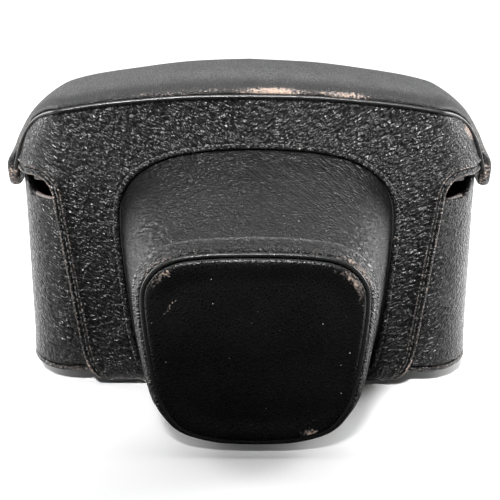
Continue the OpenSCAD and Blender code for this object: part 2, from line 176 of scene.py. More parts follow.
class Wire:
    """A socket in a material, which sums, differences and products of it extend with nodes."""

    def __init__(self, tree, socket=None):
        self.tree = tree
        self.socket = socket

    def node(self, kind, settings, sockets, output=0):
        added = self.tree.nodes.new(kind)
        for name, value in settings.items():
            setattr(added, name, value)
        for name, value in sockets.items():
            if isinstance(value, Wire):
                self.tree.links.new(value.socket, added.inputs[name])
            else:
                added.inputs[name].default_value = value
        return Wire(self.tree, added.outputs[output])

    def maths(self, operation, first, second=0.0):
        return self.node("ShaderNodeMath", {"operation": operation}, {0: first, 1: second})

    def __add__(self, other):
        return self.maths("ADD", self, other)

    def __sub__(self, other):
        return self.maths("SUBTRACT", self, other)

    def __rsub__(self, other):
        return self.maths("SUBTRACT", other, self)

    def __mul__(self, other):
        return self.maths("MULTIPLY", self, other)

    __radd__ = __add__
    __rmul__ = __mul__

    def step(self, low, high):
        """0 below low, 1 above high, and a soft slope between."""
        return self.node(
            "ShaderNodeMapRange", {"interpolation_type": "SMOOTHSTEP"},
            {"Value": self, "From Min": low, "From Max": high, "To Min": 0.0, "To Max": 1.0})

    def shade(self, dark, light):
        """A colour between two, by this share."""
        return self.node(
            "ShaderNodeMix", {"data_type": "RGBA"},
            {0: self, 6: dark, 7: light}, 2)

    def noise(self, size, detail=2.0, output="Fac"):
        """Noise with lumps this many millimetres across, at this place."""
        return self.node(
            "ShaderNodeTexNoise", {},
            {"Vector": self, "Scale": 1 / (size * MM), "Detail": detail}, output)

    def cells(self, size, feature="DISTANCE_TO_EDGE"):
        """Distance from the edges of cells this many millimetres across, or from their middles."""
        return self.node(
            "ShaderNodeTexVoronoi", {"feature": feature},
            {"Vector": self, "Scale": 1 / (size * MM)}, "Distance")

    def feed(self, shader, name):
        self.tree.links.new(self.socket, shader.inputs[name])


def blank_material(name):
    """A new material: its shader, and a wire at the object's own coordinates in metres."""
    material = bpy.data.materials.new(name)
    material.use_nodes = True
    tree = material.node_tree
    place = Wire(tree).node("ShaderNodeTexCoord", {}, {}, "Object")
    return material, tree.nodes["Principled BSDF"], place


def relief(height, depth):
    """The bump of a height from 0 to 1, this many millimetres deep."""
    return height.node(
        "ShaderNodeBump", {}, {"Strength": 1.0, "Distance": depth * MM, "Height": height}, "Normal")


BARE_HIDE = (0.29, 0.235, 0.19, 1)
RUBBED_HIDE = (0.30, 0.25, 0.23, 1)


def leather(name, pebble, depth, gloss, crease=0.0, shade=0.006, dust=0.0, stretch=1.0, slant=36):
    """Black cowhide: pebbles this wide and deep in millimetres, stretched along creases that rise
    outwards at a slant in degrees, a soft patina and specks of dust. Bare hide shows where the
    piece is marked "wear". A second mark paints a patchy dull grey film over the black, which
    is a painted sheen. The hollows of the grain are painted darker, as painted shade."""
    material, shader, place = blank_material(name)
    split = place.node("ShaderNodeSeparateXYZ", {}, {"Vector": place}).socket.node
    x, y, z = (Wire(place.tree, split.outputs[k]) for k in "XYZ")
    out = place.maths("ABSOLUTE", x)
    turn = math.radians(slant)
    along = out * math.cos(turn) + z * math.sin(turn)
    across = z * math.cos(turn) - out * math.sin(turn)
    drift = place.noise(6, 2, "Color")
    push = drift.node(
        "ShaderNodeVectorMath", {"operation": "SCALE"}, {0: drift, "Scale": 0.9 * pebble * MM})
    grain = place.node(
        "ShaderNodeCombineXYZ", {}, {"X": stretch * along, "Y": across, "Z": y + 0.25 * x}, "Vector")
    warped = place.node("ShaderNodeVectorMath", {"operation": "ADD"}, {0: grain, 1: push}, "Vector")
    large = warped.cells(pebble).step(0.0, 0.28)
    small = warped.cells(pebble * 0.5).step(0.0, 0.35)
    patch = place.noise(8, 2).step(0.35, 0.65)
    height = large * (0.45 + 0.15 * patch) + small * (0.3 - 0.15 * patch) + 0.05 * place.noise(0.4, 2)
    if crease:
        lines = place.node(
            "ShaderNodeCombineXYZ", {},
            {"X": 0.14 * along, "Y": across, "Z": 0.5 * x + 0.4 * y}, "Vector")
        swayed = lines.node("ShaderNodeVectorMath", {"operation": "ADD"}, {0: lines, 1: push}, "Vector")
        ridge = 1 - place.maths("ABSOLUTE", 2 * swayed.noise(1.5, 2) - 1)
        height = height + crease * (0.45 + 0.55 * z.step(0.03, 0.075)) * ridge * ridge
    relief(height, depth).feed(shader, "Normal")

    fleck = place.noise(0.7, 4)
    tuft = place.noise(2.6, 3)
    wear = place.node("ShaderNodeAttribute", {"attribute_name": "wear"}, {}, "Fac")
    worn = (wear + 1.5 * (fleck - 0.5) + 0.8 * (tuft - 0.5)).step(0.54, 0.66)
    grey = (wear + 1.1 * (fleck - 0.5)).step(0.3, 0.62)
    bloom = place.noise(14, 3)
    # Painted shade: the black is painted darker in the hollows of the grain and along the crease lines, and
    # lighter on the tops; the patina noise varies it.
    black = (0.65 * height * bloom).shade(
        (shade * 0.5, shade * 0.5, shade * 0.52, 1), (shade * 2.2, shade * 2.15, shade * 2.2, 1))
    # Painted sheen: where a piece carries the second mark, a patchy dull grey film, strongest on the pebbles'
    # tops, is painted over the black.
    painted_sheen = place.node("ShaderNodeAttribute", {"attribute_name": "painted_sheen"}, {}, "Fac")
    sheen_film = painted_sheen * (0.25 + 0.75 * large) * (0.4 + 1.2 * place.noise(5, 4))
    sheened = sheen_film.shade(black, (0.06, 0.06, 0.061, 1))
    rubbed = (0.5 * grey).shade(sheened, RUBBED_HIDE)
    hide = (0.5 * fleck + 0.4 * tuft).shade((0.20, 0.13, 0.10, 1), BARE_HIDE)
    colour = worn.shade(rubbed, hide)
    if dust:
        specks = 1 - place.cells(2.6, "F1").step(0.05, 0.09)
        some = place.noise(1.3, 1).step(0.58, 0.64)
        colour = (specks * some * dust).shade(colour, (0.42, 0.4, 0.37, 1))
    colour.feed(shader, "Base Color")
    rough = gloss + 0.14 * (bloom - 0.5) + 0.3 * worn + 0.16 * (1 - large)
    rough.feed(shader, "Roughness")
    shader.inputs["Specular IOR Level"].default_value = 0.34
    return material


pebbled = leather("pebbled_black_leather", 1.4, 0.42, 0.27, crease=1.5, shade=0.0025, stretch=0.42)
fine_grained = leather(
    "fine_black_leather", 1.15, 0.4, 0.3, crease=1.4, shade=0.003, stretch=0.4, slant=150)

half_length, low_half_length, half_depth, end_round = 76.0, 74.5, 21.0, 16.0
rim_height, wall_foot, wall_thick = 75.5, 6.0, 2.0


def plan(half, cut, side_steps=240, end_steps=110):
    """The half-case seen from above, drawn in by cut: straight sides and half-oval ends."""
    straight = half - end_round
    side = np.linspace(-straight, straight, side_steps, endpoint=False)
    turn = np.radians(np.linspace(-90, 90, end_steps, endpoint=False))
    depth = half_depth - cut
    end = np.column_stack([straight + (end_round - cut) * np.cos(turn), depth * np.sin(turn)])
    return np.vstack([
        np.column_stack([side, np.full(side_steps, -depth)]), end,
        np.column_stack([-side, np.full(side_steps, depth)]), -end])


def rim_at(x, y):
    """The rim's height, with its dips in front for the lens and at both ends for the lugs."""
    lens = np.where(y < 0, ease((42 - np.abs(x)) / 12), 0)
    lug = np.where(y < 0.5, ease((8 - np.abs(np.abs(x) - 67)) / 3), 0)
    return rim_height - lens * (rim_height - 26) - lug * (rim_height - 64)


def wall_row(cut, share, drop):
    """Points round the wall, this far inside its outer face, at this share of the height of a
    rim that is lowered by the drop."""
    outer = plan(half_length, 0)
    rim = rim_at(outer[:, 0], outer[:, 1]) - drop
    z = wall_foot + (rim - wall_foot) * share
    lean = (z / rim_height)[:, None]
    xy = plan(low_half_length, cut) * (1 - lean) + plan(half_length, cut) * lean
    return np.column_stack([xy, z])


wall_rows = []
for cut, share, drop in (
    [(1.6 * (1 - math.sin(a)), 0.02 * (1 - math.cos(a)), 1) for a in np.radians((0, 25, 50, 72))]
    + [(0, s, 1) for s in np.linspace(0.022, 1, 46)]
    + [(1 - math.cos(math.radians(a)), 1, 1 - math.sin(math.radians(a))) for a in range(20, 181, 20)]
    + [(wall_thick, s, 1) for s in (0.97, 0.8, 0.5, 0.2, 0)]
):
    wall_rows.append(wall_row(cut, share, drop))
wall_rows = np.array(wall_rows)
flat_rows = wall_rows.reshape(-1, 3)
swell = 0.22 * wave(flat_rows, 24, 3.1) + 0.07 * wave(flat_rows, 9, 7.7)
outwards = flat_rows * [1 / half_length**2, 1 / half_depth**2, 0]
outwards /= np.maximum(np.linalg.norm(outwards, axis=1), 1e-9)[:, None]
above_foot = ease((flat_rows[:, 2:3] - wall_foot) / 6)
flat_rows = flat_rows - outwards * (0.3 - swell)[:, None] * above_foot
rim_gap = np.abs(rim_at(flat_rows[:, 0], flat_rows[:, 1]) - flat_rows[:, 2])
edge_wear = 0.3 * hill(rim_gap, 0, 1.0) + 0.16 * hill(flat_rows[:, 2], 7, 1.2)
lower_wall = ring_shell("lower_wall", flat_rows.reshape(wall_rows.shape), {"wear": edge_wear})
fitted(lower_wall, pebbled, "grained_leather", "lower_case", "case_wall")

# ---- bottom of the half-case ----
# A flat plate of the same hide, cut to the wall's outline with a thin proud lip, glued and
# stitched under it, with holes for the screw's eyelet and the two press studs.

def loop_distance(points, loops):
    """Distance of each point from the nearest of these polylines, by closely spaced samples."""
    samples = []
    for loop in loops:
        loop = np.asarray(loop, float)
        gaps = np.linalg.norm(np.diff(loop, axis=0), axis=1)
        at = np.concatenate([[0], np.cumsum(gaps)])
        run = np.linspace(0, at[-1], max(int(at[-1] / 0.15), 2))
        samples.append(np.column_stack([np.interp(run, at, loop[:, k]) for k in range(loop.shape[1])]))
    samples = np.vstack(samples)
    tree = kdtree.KDTree(len(samples))
    flat = samples.shape[1] == 2
    for k, s in enumerate(samples):
        tree.insert((s[0], s[1], 0) if flat else s, k)
    tree.balance()
    return np.array([tree.find((p[0], p[1], 0) if flat else p)[2] for p in points])


def closed(loop):
    """The loop with its first point again at its end."""
    return np.vstack([loop, loop[:1]])


def inside(points, loops):
    """Whether each point lies inside an odd number of the closed loops."""
    hit = np.zeros(len(points), bool)
    for loop in loops:
        a, b = np.asarray(loop), np.roll(loop, -1, 0)
        for (ax, ay), (bx, by) in zip(a, b):
            if ay == by:
                continue
            crosses = (ay > points[:, 1]) != (by > points[:, 1])
            hit ^= crosses & (points[:, 0] < (bx - ax) * (points[:, 1] - ay) / (by - ay) + ax)
    return hit


def even(path, pitch, loop=True):
    """The same path with points at equal distances, about pitch apart."""
    path = closed(np.asarray(path, float)) if loop else np.asarray(path, float)
    at = np.concatenate([[0], np.cumsum(np.linalg.norm(np.diff(path, axis=0), axis=1))])
    count = max(int(round(at[-1] / pitch)), 3)
    run = np.linspace(0, at[-1], count + 1)
    points = np.column_stack([np.interp(run, at, path[:, k]) for k in range(path.shape[1])])
    return points[:-1] if loop else points


def cut_pattern(loops, pitch, bands=(0.35, 0.8, 1.4)):
    """A flat piece cut to the first loop, with the others as holes: its points, triangles and
    each point's distance from the nearest edge. Bands give the rows of points beside the edges."""
    loops = [even(loop, pitch * 0.7) for loop in loops]
    everything = np.vstack(loops)
    low, high = everything.min(0), everything.max(0)
    xs = np.arange(low[0], high[0], pitch)
    ys = np.arange(low[1], high[1], pitch * 0.866)
    grid = np.array([(x + (k % 2) * pitch / 2, y) for k, y in enumerate(ys) for x in xs])
    beside = []
    for loop in loops:
        along = np.roll(loop, -1, 0) - np.roll(loop, 1, 0)
        normal = np.column_stack([along[:, 1], -along[:, 0]]) / np.linalg.norm(along, axis=1)[:, None]
        for d in bands:
            for way in (-1, 1):
                row = loop + way * d * normal
                beside.append(row[loop_distance(row, [closed(q) for q in loops]) > 0.93 * d])
    beside = np.vstack(beside)
    edge = loop_distance(grid, [closed(q) for q in loops])
    grid = grid[edge > bands[-1] + 0.5 * pitch]
    spare = np.vstack([beside, grid])
    spare = spare[inside(spare, loops)]
    points = np.vstack([everything, spare])
    edges, start = [], 0
    for loop in loops:
        n = len(loop)
        edges += [(start + k, start + (k + 1) % n) for k in range(n)]
        start += n
    result = geometry.delaunay_2d_cdt([Vector(p) for p in points], edges, [], 0, 1e-5)
    points = np.array([tuple(p) for p in result[0]])
    faces = np.array(result[2])
    middles = points[faces].mean(1)
    faces = faces[inside(middles, loops)]
    used = np.unique(faces)
    renumber = np.full(len(points), -1)
    renumber[used] = np.arange(len(used))
    points, faces = points[used], renumber[faces]
    edge = loop_distance(points, [closed(q) for q in loops])
    return points, faces, edge


def point_normals(points, faces):
    """The normal at each point, from the faces around it."""
    normals = np.zeros_like(points)
    for k in range(1, faces.shape[1] - 1):
        a, b, c = points[faces[:, 0]], points[faces[:, k]], points[faces[:, k + 1]]
        turn = np.cross(b - a, c - a)
        for corner in (0, k, k + 1):
            np.add.at(normals, faces[:, corner], turn)
    return normals / np.maximum(np.linalg.norm(normals, axis=1), 1e-12)[:, None]


def hide_sheet(name, points, faces, edge, thick, lip, marks, facing):
    """A sheet of hide behind its outer face, closed all round by edges rounded over a lip. It is
    turned so that the outer face looks towards facing."""
    normals = point_normals(points, faces)
    thick = np.broadcast_to(thick, len(points))
    if (normals @ np.asarray(facing, float)).sum() < 0:
        faces, normals = faces[:, ::-1], -normals
    near = 1 - np.clip(edge / lip, 0, 1)
    drop = thick / 2 * (1 - np.sqrt(np.maximum(1 - near**2, 0)))
    corners = faces.shape[1]
    sides = np.vstack([faces[:, [k, (k + 1) % corners]] for k in range(corners)])
    kinds, counts = np.unique(np.sort(sides, axis=1), axis=0, return_counts=True)
    border = np.zeros(len(points), bool)
    border[kinds[counts == 1].ravel()] = True
    drop[border] = thick[border] / 2
    front = points - normals * drop[:, None]
    back = (points - normals * (thick - drop)[:, None])[~border]
    behind = np.arange(len(points))
    behind[~border] = len(points) + np.arange((~border).sum())
    both = np.vstack([front, back])
    all_marks = {k: np.concatenate([v, np.asarray(v)[~border]]) for k, v in marks.items()}
    return made(name, both, faces.tolist() + behind[faces][:, ::-1].tolist(), all_marks)


def circle(x, y, radius, count=48):
    """The points of a flat circle."""
    turn = np.linspace(0, 2 * math.pi, count, endpoint=False)
    return np.column_stack([x + radius * np.cos(turn), y + radius * np.sin(turn)])


stud_x, stud_y = 34.0, -16.0
eyelet_radius, stud_hole = 6.6, 1.7
pattern, faces, edge = cut_pattern([
    plan(low_half_length, -0.3, 80, 60), circle(0, 0, eyelet_radius),
    circle(-stud_x, stud_y, stud_hole), circle(stud_x, stud_y, stud_hole)], 2.2)
bottom_points = np.column_stack([pattern, np.full(len(pattern), 4.4)])
bottom_wear = 0.2 * hill(edge, 0, 2.0) + 0.12
bottom_plate = hide_sheet(
    "bottom_plate", bottom_points, faces, edge, 1.6, 0.8, {"wear": bottom_wear}, (0, 0, -1))
fitted(bottom_plate, pebbled, "grained_leather", "lower_case", "bottom_panel")

# ---- cover strip over the top ----
# One strip of smoother hide, moulded into a low crown from ear to ear. Its long edges are
# skived, turned over the piping and sewn down, and its ends hang free as rounded ears.

def spline(points, steps=16):
    """A smooth curve through the points."""
    points, out = np.array(points, float), []
    for i in range(len(points) - 1):
        a, b, c, d = points[max(i - 1, 0)], points[i], points[i + 1], points[min(i + 2, len(points) - 1)]
        for t in np.arange(steps) / steps:
            out.append(0.5 * (
                2 * b + (c - a) * t + (2 * a - 5 * b + 4 * c - d) * t**2
                + (3 * b - a - 3 * c + d) * t**3))
    return np.vstack([out, points[-1:]])


crown_low = [(0, 106), (20, 105), (38, 102.6), (54, 99.8), (64, 96.2), (71.5, 90.5), (76, 83.5)]
seam_low = [(0, 100), (20, 99.6), (40, 98), (54, 96.2), (63, 94.2), (69.5, 90), (73.6, 84)]
crown_half = spline(crown_low + [(78.4, 76), (79.2, 73)])
seam_half = spline(seam_low + [(76, 77), (76.8, 73)])


def even_count(path, count):
    """The same path with this many points at equal distances."""
    at = np.concatenate([[0], np.cumsum(np.linalg.norm(np.diff(path, axis=0), axis=1))])
    run = np.linspace(0, at[-1], count)
    return np.column_stack([np.interp(run, at, path[:, k]) for k in range(path.shape[1])])


def end_share(x, z):
    """How far a point of the cover stands out, as a share of the full depth, round its ends."""
    straight = half_length - end_round
    width = np.maximum(np.interp(z, crown_half[::-1, 1], crown_half[::-1, 0]), straight + 1)
    share = np.clip((np.abs(x) - straight) / (width - straight), 0, None)
    return np.sqrt(np.maximum(1 - share**2, 0.16))


front_reach = 25


def front_y(x, z):
    """Where the front panel's face lies, which leans back a little towards the top."""
    return -(front_reach - 1.5 * ease((z - 68) / 30)) * end_share(x, z)


def back_y(x, z):
    """Where the back panel's face lies, in line with the half-case."""
    return half_depth * end_share(x, z)


# Across the strip, the points lie closer together towards the seams, where it bends over.
arch_steps, ear_steps, across_steps = 110, 22, 64
u = np.linspace(-1, 1, across_steps + 1)
t = 0.35 * u + 0.65 * np.sin(math.pi / 2 * u)
bend = np.abs(t) ** 2.8


def strip_row(crown, seam, side):
    """Points across the strip, from the front seam over the crown to the back seam."""
    y = np.where(t < 0, front_y(seam[0], seam[1]), back_y(seam[0], seam[1]))
    x, z = (crown[k] + (seam[k] - crown[k]) * bend for k in (0, 1))
    return np.column_stack([side * x, np.abs(t) * y, z])


def ear_row(share, side):
    """The ear below the seam's end, which stands off the half-case."""
    start = strip_row(crown_run[-1], seam_run[-1], side)
    low = np.column_stack([side * (80.3 - t**2), 10.5 * t, 64.7 + 4.2 * np.abs(t) ** 2.5])
    return start + (low - start) * share


def shifted(path, along, distance):
    """A flat path moved to the right of its own direction by a distance."""
    right = np.column_stack([along[:, 1], -along[:, 0]])
    return path + distance * right / np.linalg.norm(along, axis=1)[:, None]


def inset_run(path, distance):
    """An open path moved sideways by a distance."""
    return shifted(path, np.gradient(path, axis=0), distance)


strip_crown = spline(crown_low + [(78.2, 78.5), (79.9, 75), (80.3, 72)])
strip_seam = spline(seam_low + [(76.2, 78), (78.9, 75), (79.3, 72)])
crown_run = even_count(strip_crown, arch_steps + 1)
seam_run = inset_run(even_count(strip_seam, arch_steps + 1), -0.6)
ear_shares = [1 - (1 - k / ear_steps) ** 1.6 for k in range(1, ear_steps + 1)]
strip_rows = np.array(
    [ear_row(share, -1) for share in reversed(ear_shares)]
    + [strip_row(crown_run[i], seam_run[i], -1) for i in range(arch_steps, -1, -1)]
    + [strip_row(crown_run[i], seam_run[i], 1) for i in range(1, arch_steps + 1)]
    + [ear_row(share, 1) for share in ear_shares])


def grid_faces(m, n):
    """Four-sided faces between the points of m rows of n points."""
    i, j = np.meshgrid(np.arange(m - 1), np.arange(n - 1), indexing="ij")
    return np.stack([i * n + j, i * n + j + 1, (i + 1) * n + j + 1, (i + 1) * n + j], -1).reshape(-1, 4)


def border_of(rows):
    """The points round the outside of a grid of rows."""
    return np.vstack([rows[0], rows[1:, -1], rows[-1, ::-1][1:], rows[::-1, 0][1:]])


strip_points = strip_rows.reshape(-1, 3)
sway = 0.3 * wave(strip_points, 30, 1.3) - 0.25
strip_points = strip_points + [0, 0, 1] * sway[:, None] * (1 - np.tile(bend, len(strip_rows)))[:, None]
strip_faces = grid_faces(len(strip_rows), across_steps + 1)
strip_edge = loop_distance(strip_points, [border_of(strip_points.reshape(strip_rows.shape))])
px, py, pz = strip_points.T
ahead = py < 0
ear_top = 74
scuffed = (0.44 * hill(px, 8, 8) + 0.4 * hill(px, 32, 8) + 0.2 * hill(px, 20, 18)
           + 0.34 * hill(px, -20, 32) + 0.36 * hill(np.abs(px), 74, 5))
strip_wear = np.where(
    ahead & (pz > ear_top), scuffed * hill(strip_edge, 0.6, 2.2), 0.3 * hill(strip_edge, 0, 1.2))
strip_wear = strip_wear + np.where(pz < ear_top, 0.12 * hill(strip_edge, 0, 1.6), 0)

# The hide is turned in round the ears, so they are thicker, and their edges are drawn in.
hem = ease((77.5 - pz) / 3)
smooth_top = leather("smooth_black_leather", 0.9, 0.36, 0.4)
# The strip's second mark paints it a dull grey away from its edges: a painted sheen on the crown, fading to
# black within about ten millimetres of the seams and ears.
top = hide_sheet(
    "cover_strip", strip_points, strip_faces, strip_edge, 1.4 + 2.4 * hem, 1.3,
    {"wear": strip_wear, "painted_sheen": ease((strip_edge - 3.5) / 7)}, (0, 0, 1))
for k in np.flatnonzero((strip_edge < 0.01) & (pz < ear_top)):
    inwards = Vector((0, -py[k], 71.5 - pz[k])).normalized()
    top.data.vertices[int(k)].co += inwards * float(2.8 * MM * hem[k])
fitted(top, smooth_top, "smooth_leather", "cover", "top_strip")

# ---- front panel, flap and snap tongue ----
# One piece of pebbled hide, cut out for the nose. Its flap folds under the half-case and
# ends in the tongue. A row of stitches is sunk in a creased groove along the free edge.

fold_top, fold_radius = 6.1, 4.6
fold_end = fold_top - fold_radius * math.pi / 2
tongue_end = fold_end - 9.9
flap_half = spline([
    (75.6, 72.9), (73.6, 72.2), (70.5, 72.5), (66.6, 71.6), (64, 68), (63, 62),
    (60.5, 46), (56.6, 20), (55, 11), (53, 6), (50, 2), (48.2, -1.2)])
tongue_half = spline([
    (48.2, -1.2), (48, -5), (46.6, tongue_end + 1.6), (43.4, tongue_end), (38, tongue_end)])


def tucked(seam):
    """The edge of a panel along this seam: above it behind the strip, and on it at the corners."""
    rise = inset_run(seam, 1) - seam
    return seam + rise * (0.85 - 0.9 * ease((np.abs(seam[:, :1]) - 62) / 8))


seam_edge = tucked(seam_half)
seam_edge[:, 0] = np.maximum(seam_edge[:, 0], 0)
seam_edge = seam_edge[seam_edge[:, 1] > 73.6]
half_outline = np.vstack([seam_edge, flap_half, tongue_half[1:], [(0, tongue_end)]])
outline = np.vstack([half_outline, (half_outline * [-1, 1])[::-1][1:-1]])

nose_shift = 2.5
base_half = spline([
    (0, 81.8), (14, 81.2), (26, 79.3), (34, 76.3), (40, 71.5), (43.4, 65), (44.1, 56.5),
    (43.2, 44), (41, 24), (38, 10), (36, 7.4), (33, 7), (0, 7)])
rim_half = spline([
    (0, 67), (14, 66.6), (24.4, 65), (31, 61.3), (35.1, 55.4), (36, 48.4),
    (34.8, 35.5), (32.3, 21.3), (29, 12.8), (23, 6.3), (12.2, 2.9), (0, 2.2)])


def full_loop(half, count):
    """The whole outline of the nose, from its right half."""
    half = even_count(half, count)
    return np.vstack([half, (half * [-1, 1])[::-1][1:-1]]) + [nose_shift, 0]


def drawn_in(loop, distance):
    """A closed loop moved inwards by a distance."""
    return shifted(loop, np.roll(loop, -1, 0) - np.roll(loop, 1, 0), distance)


base_loop, rim_loop = full_loop(base_half, 260), full_loop(rim_half, 260)
opening = drawn_in(base_loop, -0.35)


def flap_place(pattern):
    """Where a point of the flat pattern lies: on the panel, round the fold, or under the case."""
    x, s = pattern[:, 0], pattern[:, 1]
    turn = np.clip((fold_top - s) / fold_radius, 0, math.pi / 2)
    middle = fold_radius - front_reach
    below = middle - fold_radius * np.cos(turn) + np.maximum(fold_end - s, 0)
    y = np.where(s >= fold_top, front_y(x, s), below)
    z = np.where(s >= fold_top, s, fold_top - fold_radius * np.sin(turn))
    return np.column_stack([x, y, z])


pattern, faces, edge = cut_pattern(
    [outline, opening], 0.95, (0.3, 0.7, 1.0, 1.25, 1.8, 2.3, 2.6, 2.95, 3.4))
free_edges = [np.vstack([flap_half, tongue_half[1:], [(0, tongue_end)]])]
free_edges.append(free_edges[0] * [-1, 1])
from_flap = loop_distance(pattern, free_edges)
from_nose = loop_distance(pattern, [closed(opening)])
panel_points = flap_place(pattern)
panel_normals = point_normals(panel_points, faces)
if panel_normals[:, 1].sum() > 0:
    panel_normals = -panel_normals
stitch_inset, nose_stitch_inset = 1.8, 2.1
groove_depth = (
    0.8 * np.exp(-((from_flap - stitch_inset) / 0.6) ** 4) - 0.3 * hill(from_flap, 3.0, 0.5)
    + 0.3 * hill(from_nose, nose_stitch_inset, 0.4))
out, up = np.abs(pattern[:, 0]), pattern[:, 1]
lean = np.column_stack([0.3 * (0.8 * out + 0.6 * up), 0.8 * up - 0.6 * out, 0.3 * pattern[:, 0]])
crumple = 0.16 * wave(lean, 3.2, 4.2) + 0.28 * wave(panel_points, 15, 9.1)
calm = ease((from_flap - 2.5) / 3) * ease((from_nose - 1.5) / 3) * ease((pattern[:, 1] - 12) / 10)
groove_depth = groove_depth + 0.3 * calm - crumple * calm
panel_points = panel_points - panel_normals * groove_depth[:, None]
px, pz = pattern.T
panel_wear = (
    0.36 * hill(np.maximum(from_flap, 0.5), 0.5, 0.5) + 0.42 * hill(from_flap, 2.95, 0.35)
    + 0.2 * hill(from_flap, 0.8, 0.5) * (pz < 12)
    + 0.22 * hill(from_nose, 0, 1.3)
    + 0.95 * hill(px + 0.5 * (pz - 88), 71.3, 2.2) * hill(pz, 86.5, 3.6)
    + 0.14 * hill(from_flap, 0, 1.6) * (pz > 64))
front = hide_sheet(
    "front_panel_and_tongue", panel_points, faces, edge, 1.8, 0.9, {"wear": panel_wear}, (0, -1, 0))
fitted(front, pebbled, "grained_leather", None, "front_panel", "snap_tongue")
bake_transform(front)

# ---- stitching ----
# Waxed black thread, laid by machine as short lock stitches, each one pulled a little into
# the hide. The same row runs along the flap, the nose opening and the hinge strap.

def stitch_pattern():
    """Nodes that lay one short rounded stitch after another along a line."""
    tree = bpy.data.node_groups.new("stitch_row", "GeometryNodeTree")
    faceplate = tree.interface
    faceplate.new_socket("Seam", in_out="INPUT", socket_type="NodeSocketGeometry")
    for name, kind in (("Pitch", "Float"), ("Length", "Float"), ("Thread Radius", "Float"),
                       ("Seed", "Int"), ("Thread", "Material")):
        faceplate.new_socket(name, in_out="INPUT", socket_type="NodeSocket" + kind)
    faceplate.new_socket("Stitches", in_out="OUTPUT", socket_type="NodeSocketGeometry")

    def add(kind, settings=None, **links):
        node = tree.nodes.new(kind)
        for name, value in (settings or {}).items():
            setattr(node, name, value)
        for name, value in links.items():
            socket = node.inputs[name.replace("_", " ")]
            if hasattr(value, "is_output"):
                tree.links.new(value, socket)
            else:
                socket.default_value = value
        return node

    given = add("NodeGroupInput").outputs
    run = add("GeometryNodeMeshToCurve", Mesh=given["Seam"])
    evenly = add("GeometryNodeResampleCurve", {"mode": "LENGTH"}, Curve=run.outputs[0], Length=given["Pitch"])
    ball = add("GeometryNodeMeshUVSphere", Segments=8, Rings=6, Radius=1.0)
    half = add("ShaderNodeMath", {"operation": "MULTIPLY"})
    tree.links.new(given["Length"], half.inputs[0])
    half.inputs[1].default_value = 0.5
    thread = given["Thread Radius"]
    size = add("ShaderNodeCombineXYZ", X=half.outputs[0], Y=thread, Z=thread)
    one = add("GeometryNodeTransform", Geometry=ball.outputs[0], Scale=size.outputs[0])
    tangent = add("GeometryNodeInputTangent").outputs[0]
    aim_along = add("FunctionNodeAlignRotationToVector", {"axis": "X"}, Vector=tangent)
    vary = add("FunctionNodeRandomValue", {"data_type": "FLOAT"}, Seed=given["Seed"])
    vary.inputs[2].default_value, vary.inputs[3].default_value = 0.88, 1.1
    laid = add("GeometryNodeInstanceOnPoints", Points=evenly.outputs[0], Instance=one.outputs[0],
               Rotation=aim_along.outputs[0], Scale=vary.outputs[1])
    real = add("GeometryNodeRealizeInstances", Geometry=laid.outputs[0])
    coloured = add("GeometryNodeSetMaterial", Geometry=real.outputs[0], Material=given["Thread"])
    done = tree.nodes.new("NodeGroupOutput")
    tree.links.new(coloured.outputs[0], done.inputs[0])
    return tree


stitches = stitch_pattern()


def darker(colour, share):
    """The same colour at this share of its brightness."""
    return tuple(share * c for c in colour[:3]) + (1,)


def thread_material(name, colour):
    material, shader, place = blank_material(name)
    twist = place.noise(0.25, 3)
    twist.shade(darker(colour, 0.5), colour).feed(shader, "Base Color")
    (0.55 + 0.2 * twist).feed(shader, "Roughness")
    relief(twist, 0.06).feed(shader, "Normal")
    return material


black_thread = thread_material("black_waxed_thread", (0.07, 0.068, 0.066, 1))


def sew(name, path, body, pitch, length, radius, seed):
    """Stitches along a path in millimetres, as one plain mesh."""
    line = bpy.data.meshes.new(name + "_line")
    line.from_pydata((np.asarray(path) * MM).tolist(), [(k, k + 1) for k in range(len(path) - 1)], [])
    guide = bpy.data.objects.new(name + "_line", line)
    bpy.context.collection.objects.link(guide)
    row = guide.modifiers.new("stitches", "NODES")
    row.node_group = stitches
    wanted = {"Pitch": pitch * MM, "Length": length * MM, "Thread Radius": radius * MM,
              "Seed": seed, "Thread": black_thread}
    for item in stitches.interface.items_tree:
        if item.in_out == "INPUT" and item.name in wanted:
            row[item.identifier] = wanted[item.name]
    bpy.context.view_layer.update()
    mesh = bpy.data.meshes.new_from_object(guide.evaluated_get(bpy.context.evaluated_depsgraph_get()))
    bpy.data.objects.remove(guide)
    mesh.name = name
    mesh.polygons.foreach_set("use_smooth", [True] * len(mesh.polygons))
    piece = bpy.data.objects.new(name, mesh)
    bpy.context.collection.objects.link(piece)
    if body:
        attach(piece, body)
    return piece


free_run = even(np.vstack([flap_half, tongue_half[1:]]), 0.4, loop=False)
for side, label in ((1, "right"), (-1, "left")):
    run = flap_place(inset_run(free_run, stitch_inset)[8:] * [side, 1])
    on_panel = run[:, 2] > 4
    run[:, 1] += np.where(on_panel, 0.6, 0.1)
    run[:, 2] += np.where(on_panel, 0.0, 0.55)
    row = sew("flap_stitches_" + label, run, None, 2.1, 1.5, 0.2, 3)
    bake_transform(row)

nose_run = drawn_in(base_loop, -nose_stitch_inset)
nose_run = nose_run[nose_run[:, 1] > 8.5]
split_at = int(np.argmax(np.linalg.norm(np.diff(nose_run, axis=0), axis=1))) + 1
nose_run = np.vstack([nose_run[split_at:], nose_run[:split_at]])
nose_x, nose_z = nose_run.T
nose_seam = np.column_stack([nose_x, front_y(nose_x, nose_z) - 0.02, nose_z])
sew("nose_opening_stitches", nose_seam, "cover", 2.0, 1.35, 0.2, 5)

# ---- nose ----
# A tube of fine-grained hide that houses the lens, wet-moulded to a taper. Its edge is
# turned in over a beaded welt, and its foot is glued behind the opening of the front panel.

def upright(loop, reach):
    """A flat loop stood up at this distance in front of the case's middle."""
    return np.column_stack([loop[:, 0], np.full(len(loop), -reach), loop[:, 1]])


